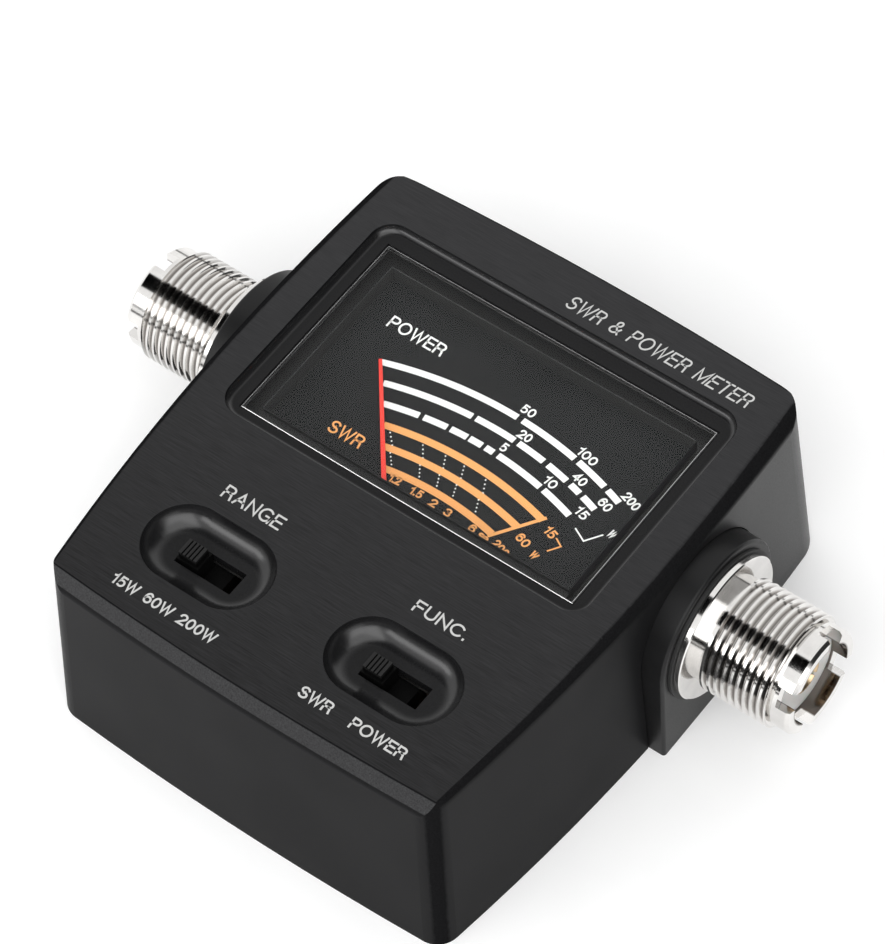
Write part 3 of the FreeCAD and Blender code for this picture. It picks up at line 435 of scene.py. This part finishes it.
INK_WHITE = ink("ink_white", (0.88, 0.88, 0.86))
INK_ORANGE = ink("ink_orange", (0.84, 0.37, 0.11))
INK_GREY = ink("ink_grey", (0.56, 0.56, 0.55))


def dress_cad_nodes():
    for subpart in frame["record"]["subparts"]:
        for slot in frame["nodes"][subpart["node"]].material_slots:
            slot.material = MATERIALS[subpart["material_slot"]]


# ---------------------------------------------------------------- mesh helpers
ARC_STEP = 0.4          # degrees per segment of a printed scale
LETTER_STEP = 15        # degrees per segment of a letter's curve
DOT_SIDES = 12
MITRE_LIMIT = 2.5       # longest mitre, in half widths of the line


def finish_piece(name, bm, material, body="meter_body"):
    """Turns a bmesh into a named piece that rides on a CAD body."""
    bmesh.ops.recalc_face_normals(bm, faces=bm.faces)
    mesh = bpy.data.meshes.new(name)
    bm.to_mesh(mesh)
    bm.free()
    mesh.materials.append(material)
    obj = bpy.data.objects.new(name, mesh)
    bpy.context.scene.collection.objects.link(obj)
    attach(obj, body)
    return obj


def add_band(bm, centres, normals, width, z0, z1):
    """Closed strip of the given width that follows centres, between heights z0 and z1."""
    rings = []
    for centre, normal in zip(centres, normals):
        side = normal * (width / 2)
        rings.append([bm.verts.new((*(centre + offset), z)) for offset, z in
                      ((side, z1), (-side, z1), (-side, z0), (side, z0))])
    for first, second in zip(rings, rings[1:]):
        for i in range(4):
            bm.faces.new((first[i], first[(i + 1) % 4], second[(i + 1) % 4], second[i]))
    bm.faces.new(rings[0])
    bm.faces.new(rings[-1][::-1])


def heading(degrees):
    """Unit vector in the panel's plane, degrees clockwise from +Y."""
    angle = math.radians(degrees)
    return Vector((math.sin(angle), math.cos(angle)))


def add_arc(bm, centre, radius, start, end, width, z):
    """Arc about centre, its ends in degrees clockwise from +Y."""
    count = max(2, round(abs(end - start) / ARC_STEP))
    directions = [heading(start + (end - start) * i / count) for i in range(count + 1)]
    add_band(bm, [centre + d * radius for d in directions], directions, width, z - INK_ROOT, z + INK)


def add_line(bm, points, width, z):
    """Polyline with mitred corners; its open ends run on by half the width."""
    closed = (points[0] - points[-1]).length < width * 0.1
    steps = [(b - a).normalized() for a, b in zip(points, points[1:])]
    if not closed:
        first, last = points[0] - steps[0] * width / 2, points[-1] + steps[-1] * width / 2
        points = [first] + points[1:-1] + [last]
    before = [steps[-1] if closed else steps[0]] + steps
    after = steps + [steps[0] if closed else steps[-1]]
    normals = []
    for one, two in zip(before, after):
        half = (one + two).normalized()
        mitre = 1 / max(half.dot(one), 1 / MITRE_LIMIT)
        normals.append(Vector((-half.y, half.x)) * mitre)
    add_band(bm, points, normals, width, z - INK_ROOT, z + INK)


def add_dot(bm, centre, radius, z):
    rim = [centre + heading(360 / DOT_SIDES * i) * radius for i in range(DOT_SIDES)]
    top = [bm.verts.new((*p, z + INK)) for p in rim]
    base = [bm.verts.new((*p, z - INK_ROOT)) for p in rim]
    bm.faces.new(top)
    bm.faces.new(base[::-1])
    for i in range(DOT_SIDES):
        j = (i + 1) % DOT_SIDES
        bm.faces.new((top[i], base[i], base[j], top[j]))


def arc_points(cx, cy, rx, ry, start, end):
    """Points of an elliptical arc, angles in degrees anticlockwise from +X."""
    count = max(4, round(abs(end - start) / LETTER_STEP))
    angles = [math.radians(start + (end - start) * i / count) for i in range(count + 1)]
    return [(cx + rx * math.cos(a), cy + ry * math.sin(a)) for a in angles]


# Plain stroke letters: width, then strokes as centre lines in a box one cap height tall.
GLYPHS = {
    "A": (0.76, [[(0, 0), (0.38, 1), (0.76, 0)], [(0.15, 0.35), (0.61, 0.35)]]),
    "C": (0.76, [arc_points(0.42, 0.5, 0.42, 0.5, 42, 318)]),
    "E": (0.60, [[(0.6, 1), (0, 1), (0, 0), (0.6, 0)], [(0, 0.52), (0.55, 0.52)]]),
    "F": (0.56, [[(0.56, 1), (0, 1), (0, 0)], [(0, 0.5), (0.5, 0.5)]]),
    "G": (0.80, [arc_points(0.42, 0.5, 0.42, 0.5, 45, 325) + [(0.8, 0.44), (0.46, 0.44)],
                 [(0.8, 0.44), (0.8, 0)]]),
    "M": (0.84, [[(0, 0), (0, 1), (0.42, 0.1), (0.84, 1), (0.84, 0)]]),
    "N": (0.68, [[(0, 0), (0, 1), (0.68, 0), (0.68, 1)]]),
    "O": (0.86, [arc_points(0.43, 0.5, 0.43, 0.5, 0, 360)]),
    "P": (0.62, [[(0, 0), (0, 1)] + arc_points(0.36, 0.74, 0.26, 0.26, 90, -90) + [(0, 0.48)]]),
    "R": (0.66, [[(0, 0), (0, 1)] + arc_points(0.37, 0.745, 0.26, 0.255, 90, -90) + [(0, 0.49)],
                 [(0.38, 0.49), (0.56, 0.38), (0.64, 0)]]),
    "S": (0.64, [arc_points(0.32, 0.755, 0.29, 0.245, 20, 270)
                 + arc_points(0.32, 0.255, 0.32, 0.255, 90, -160)]),
    "T": (0.68, [[(0, 1), (0.68, 1)], [(0.34, 1), (0.34, 0)]]),
    "U": (0.68, [[(0, 1)] + arc_points(0.34, 0.33, 0.34, 0.33, 180, 360) + [(0.68, 1)]]),
    "W": (1.04, [[(0, 1), (0.26, 0), (0.52, 1), (0.78, 0), (1.04, 1)]]),
    "&": (0.76, [[(0.76, 0), (0.2, 0.66)] + arc_points(0.34, 0.81, 0.18, 0.19, 200, -60)
                 + arc_points(0.3, 0.26, 0.3, 0.26, 130, 340) + [(0.72, 0.46)]]),
    "0": (0.58, [arc_points(0.29, 0.5, 0.29, 0.5, 0, 360)]),
    "1": (0.30, [[(0, 0.77), (0.18, 0.82), (0.26, 1), (0.26, 0)]]),
    "2": (0.58, [arc_points(0.29, 0.72, 0.28, 0.28, 170, -25) + [(0.01, 0), (0.58, 0)]]),
    "3": (0.58, [arc_points(0.28, 0.76, 0.25, 0.24, 160, -90),
                 arc_points(0.28, 0.26, 0.29, 0.26, 90, -160)]),
    "4": (0.60, [[(0.44, 0), (0.44, 1), (0, 0.28), (0.6, 0.28)]]),
    "5": (0.58, [[(0.52, 1), (0.12, 1), (0.07, 0.52)]
                 + arc_points(0.27, 0.32, 0.30, 0.32, 120, -125)]),
    "6": (0.58, [arc_points(0.3, 0.5, 0.3, 0.5, 45, 190), arc_points(0.3, 0.31, 0.28, 0.31, 0, 360)]),
    ".": (0.08, [[(0.04, 0), (0.04, 0.04)]]),
    "∞": (1.30, [arc_points(0.33, 0.5, 0.3, 0.26, 0, 360),
                 arc_points(0.96, 0.5, 0.3, 0.26, 0, 360)]),
    " ": (0.34, []),
}
LETTER_GAP = 0.26


def add_lettering(bm, text, corner, width, height, z, stroke, tilt=0.0, slant=0.0):
    """Line of stroke letters that fills this width and height from its lower left corner."""
    right, up = heading(tilt + 90), heading(tilt)
    natural = sum(GLYPHS[c][0] for c in text) + LETTER_GAP * (len(text) - 1)
    stretch = (width - stroke - height * slant) / natural
    rise = height - stroke
    cursor = 0.0
    for letter in text:
        advance, strokes = GLYPHS[letter]
        for points in strokes:
            line = [corner + right * (stroke / 2 + (cursor + u) * stretch + v * height * slant)
                    + up * (stroke / 2 + v * rise) for u, v in points]
            add_line(bm, line, stroke, z)
        cursor += advance + LETTER_GAP


# ---------------------------------------------------------------- the printed dial
ARC_CENTRE = WINDOW.xy + Vector((1.13, -53.52)) * MM      # common centre of every scale


def on_dial(degrees, radius):
    """Point of the scales, from the angle and radius about the arcs' common centre."""
    return ARC_CENTRE + heading(degrees) * radius * MM


def at_window(x, y):
    """Point of the dial, in millimetres from the window's middle."""
    return WINDOW.xy + Vector((x, y)) * MM


POWER_SCALES = (          # radius, then the ends of each dash in degrees
    (58.5, ((-18.3, 1.1), (1.9, 10.6), (11.3, 16.2), (16.9, 19.2))),
    (55.5, ((-16.9, -3.8), (-3.2, 3.0), (3.7, 8.1), (8.9, 12.4), (13.2, 15.0), (15.7, 18.2))),
    (52.5, ((-15.7, -10.2), (-9.5, -5.8), (-5.2, -2.5), (-2.1, 0.0), (0.6, 2.0), (2.8, 10.7),
            (11.4, 16.9))),
)
SWR_SCALES = ((49.5, -14.2, 15.2), (46.5, -12.6, 13.7), (43.5, -10.7, 11.9))
SWR_TICKS = ((-13.0, -9.7), (-7.5, -4.5), (-3.5, -1.1), (-0.1, 2.2), (3.9, 7.1))
TICK_ROWS = (             # a tick's dots: first radius and its step, first share and its step
    (48.7, -0.55, 0.08, 0.13),
    (45.9, -0.5, 0.58, 0.12),
)
DOTS_PER_ROW = 4
DOT_R = 0.11 * MM
POWER_LINE, SWR_LINE, SWR_END_LINE, BRACKET_LINE = 0.91 * MM, 1.0 * MM, 0.45 * MM, 0.2 * MM
SWR_END = ((15.2, 49.9), (11.9, 43.1))                          # degrees and radius of each point
POWER_BRACKET = ((19.2, 51.98), (21.5, 51.77), (22.1, 54.2))
SWR_BRACKET = ((19.0, 49.24), (20.5, 49.03), (20.0, 47.34))

# Labels: text, lower left corner from the window's middle, width, height, tilt in degrees.
POWER_LABELS = (
    ("50", 1.75, 5.9, 2.1, 1.35, 2), ("100", 11.4, 4.8, 3.1, 1.35, 11), ("200", 20.0, 2.6, 2.8, 1.35, 19),
    ("20", 3.8, 2.6, 1.9, 1.35, 3), ("40", 13.2, 1.4, 2.0, 1.35, 13), ("60", 18.0, 0.2, 2.0, 1.35, 18),
    ("5", 3.1, -0.3, 0.95, 1.35, 3), ("10", 10.5, -1.1, 1.9, 1.35, 11), ("15", 16.4, -2.5, 1.9, 1.35, 16),
    ("W", 21.8, -2.9, 0.95, 1.1, 20),
)
SWR_LABELS = (
    ("15", 15.0, -7.0, 1.7, 1.3, 18), ("60", 12.7, -9.8, 2.1, 1.3, 18), ("W", 15.7, -10.8, 1.0, 1.0, 18),
    ("200", 10.9, -12.2, 2.6, 1.2, 18), ("1.2", -5.5, -12.0, 1.7, 1.2, -5),
    ("1.5", -2.2, -12.0, 1.8, 1.2, -2), ("2", 0.9, -12.0, 1.0, 1.2, 1), ("3", 3.2, -12.1, 1.0, 1.2, 3),
    ("6", 7.1, -12.2, 1.0, 1.2, 6), ("∞", 8.7, -12.2, 1.6, 0.9, 8),
)


def add_labels(bm, labels):
    for text, x, y, width, height, tilt in labels:
        add_lettering(bm, text, at_window(x, y), width * MM, height * MM, DIAL_TOP, FINE, tilt=tilt)


def add_ticks(bm):
    """Slanted dotted lines across the gaps between the SWR scales."""
    for start, end in SWR_TICKS:
        for radius, radius_step, share, share_step in TICK_ROWS:
            for i in range(DOTS_PER_ROW):
                degrees = start + (end - start) * (share + share_step * i)
                add_dot(bm, on_dial(degrees, radius + radius_step * i), DOT_R, DIAL_TOP)


def power_print():
    bm = bmesh.new()
    for radius, dashes in POWER_SCALES:
        for start, end in dashes:
            add_arc(bm, ARC_CENTRE, radius * MM, start, end, POWER_LINE, DIAL_TOP)
    add_line(bm, [on_dial(*point) for point in POWER_BRACKET], BRACKET_LINE, DIAL_TOP)
    add_labels(bm, POWER_LABELS)
    add_lettering(bm, "POWER", at_window(-20.3, 6.9), 8.8 * MM, 1.95 * MM, DIAL_TOP, BOLD)
    add_ticks(bm)
    return finish_piece("dial_print_white", bm, INK_WHITE)


def swr_print():
    bm = bmesh.new()
    for radius, start, end in SWR_SCALES:
        add_arc(bm, ARC_CENTRE, radius * MM, start, end, SWR_LINE, DIAL_TOP)
    add_line(bm, [on_dial(*point) for point in SWR_END], SWR_END_LINE, DIAL_TOP + INK / 2)
    add_line(bm, [on_dial(*point) for point in SWR_BRACKET], BRACKET_LINE, DIAL_TOP)
    add_labels(bm, SWR_LABELS)
    add_lettering(bm, "SWR", at_window(-16.6, -10.3), 5.2 * MM, 1.95 * MM, DIAL_TOP, BOLD)
    return finish_piece("dial_print_orange", bm, INK_ORANGE)


# ---------------------------------------------------------------- the panel's lettering
SWITCH_WORDS = (          # text, lower left corner on the panel, width, height
    ("RANGE", -18.9, -15.65, 9.2, 2.05), ("15W 60W 200W", -22.2, -33.2, 16.1, 1.6),
    ("FUNC.", 10.8, -15.4, 8.0, 1.8), ("SWR", 6.8, -32.9, 4.9, 1.7), ("POWER", 14.6, -32.9, 8.2, 1.7),
)
TITLE_SLANT = 0.18


def panel_print():
    bm = bmesh.new()
    for text, x, y, width, height in SWITCH_WORDS:
        add_lettering(bm, text, Vector((x, y)) * MM, width * MM, height * MM, PANEL_TOP, BOLD)
    add_lettering(bm, "SWR & POWER METER", Vector((-1.0, 31.95)) * MM, 28.4 * MM, 2.15 * MM, PANEL_TOP,
                  FINE, slant=TITLE_SLANT)
    return finish_piece("panel_print", bm, INK_GREY)


# ---------------------------------------------------------------- studio
FLOOR_HALF = 3.0           # half the side of the floor, in metres
TENT_STRENGTH = 1.1


def studio_floor():
    bm = bmesh.new()
    bmesh.ops.create_grid(bm, x_segments=1, y_segments=1, size=FLOOR_HALF)
    mesh = bpy.data.meshes.new("floor")
    bm.to_mesh(mesh)
    bm.free()
    floor = bpy.data.objects.new("floor", mesh)
    mesh.materials.append(moulded("floor_white", (0.9, 0.9, 0.9), 0.6, grain=2.0, spread=0.01,
                                  Emission_Color=(1.0, 1.0, 1.0, 1.0), Emission_Strength=0.15))
    bpy.context.scene.collection.objects.link(floor)


def studio_world():
    """Bright tent, plain white to the camera, whose darker gaps give the plated sockets something
    to reflect."""
    world = bpy.data.worlds.new("studio")
    world.use_nodes = True
    bpy.context.scene.world = world
    tree = world.node_tree
    direction = add_node(tree, "ShaderNodeSeparateXYZ")
    coords = add_node(tree, "ShaderNodeTexCoord")
    tree.links.new(coords.outputs["Generated"], direction.inputs["Vector"])
    x, y, z = (direction.outputs[axis] for axis in "XYZ")

    upper_back = all_of(tree, between(tree, y, 0.2, 2.0, 0.1), between(tree, z, 0.5, 2.0, 0.2))
    in_front = between(tree, y, -2.0, -0.7, 0.1)
    slot_overhead = all_of(tree, between(tree, y, -0.45, 0.0, 0.03), between(tree, z, 0.75, 2.0, 0.08))
    wide_slot_in_front = all_of(tree, in_front, between(tree, z, 0.13, 0.3, 0.02),
                                remap(tree, x, 0, 1, -0.40, -0.36))
    narrow_slot_in_front = all_of(tree, in_front, between(tree, z, 0.22, 0.25, 0.01))
    right_back = all_of(tree, between(tree, x, 0.4, 2.0, 0.2), between(tree, y, 0.1, 2.0, 0.2))
    horizon = between(tree, z, 0.01, 0.07, 0.01)
    seen_directly = add_node(tree, "ShaderNodeLightPath").outputs["Is Camera Ray"]
    level = 1.0
    for mask, brightness in ((upper_back, 0.92), (slot_overhead, 0.0), (wide_slot_in_front, 0.0),
                             (narrow_slot_in_front, 0.0), (right_back, 0.03), (horizon, 0.05),
                             (seen_directly, 1.0)):
        level = blend(tree, mask, level, brightness)

    background = tree.nodes["Background"]
    background.inputs["Color"].default_value = (1.0, 1.0, 1.0, 1.0)
    tree.links.new(combine(tree, "MULTIPLY", level, TENT_STRENGTH), background.inputs["Strength"])


def soft_light(name, place, size, power):
    """Rectangular lamp at a place in metres, aimed at the meter."""
    light = bpy.data.lights.new(name, "AREA")
    light.shape = "RECTANGLE"
    light.size, light.size_y = size
    light.energy = power
    lamp = bpy.data.objects.new(name, light)
    lamp.location = place
    lamp.rotation_mode = "QUATERNION"
    lamp.rotation_quaternion = (-Vector(place)).to_track_quat("-Z", "Y")
    bpy.context.scene.collection.objects.link(lamp)


CAMERA_PLACE = Vector((213.05, -224.9, 482.1)) * MM
CAMERA_TURN = (34.308, 3.853, 37.212)
CAMERA_LENS = 169.0


def camera():
    """Long lens from above the front right corner, looking down at about 55 degrees."""
    data = bpy.data.cameras.new("camera")
    data.lens = CAMERA_LENS
    data.sensor_width = 36.0
    cam = bpy.data.objects.new("camera", data)
    cam.location = CAMERA_PLACE
    cam.rotation_euler = [math.radians(angle) for angle in CAMERA_TURN]
    bpy.context.scene.collection.objects.link(cam)
    bpy.context.scene.camera = cam


dress_cad_nodes()
power_print()
swr_print()
panel_print()
studio_floor()
studio_world()
soft_light("key", (-0.38, -0.74, 0.45), (0.7, 0.28), 1.6)
soft_light("main", (0.5, -0.45, 0.85), (1.3, 1.3), 10.0)
camera()
bpy.context.scene.view_settings.view_transform = "Standard"
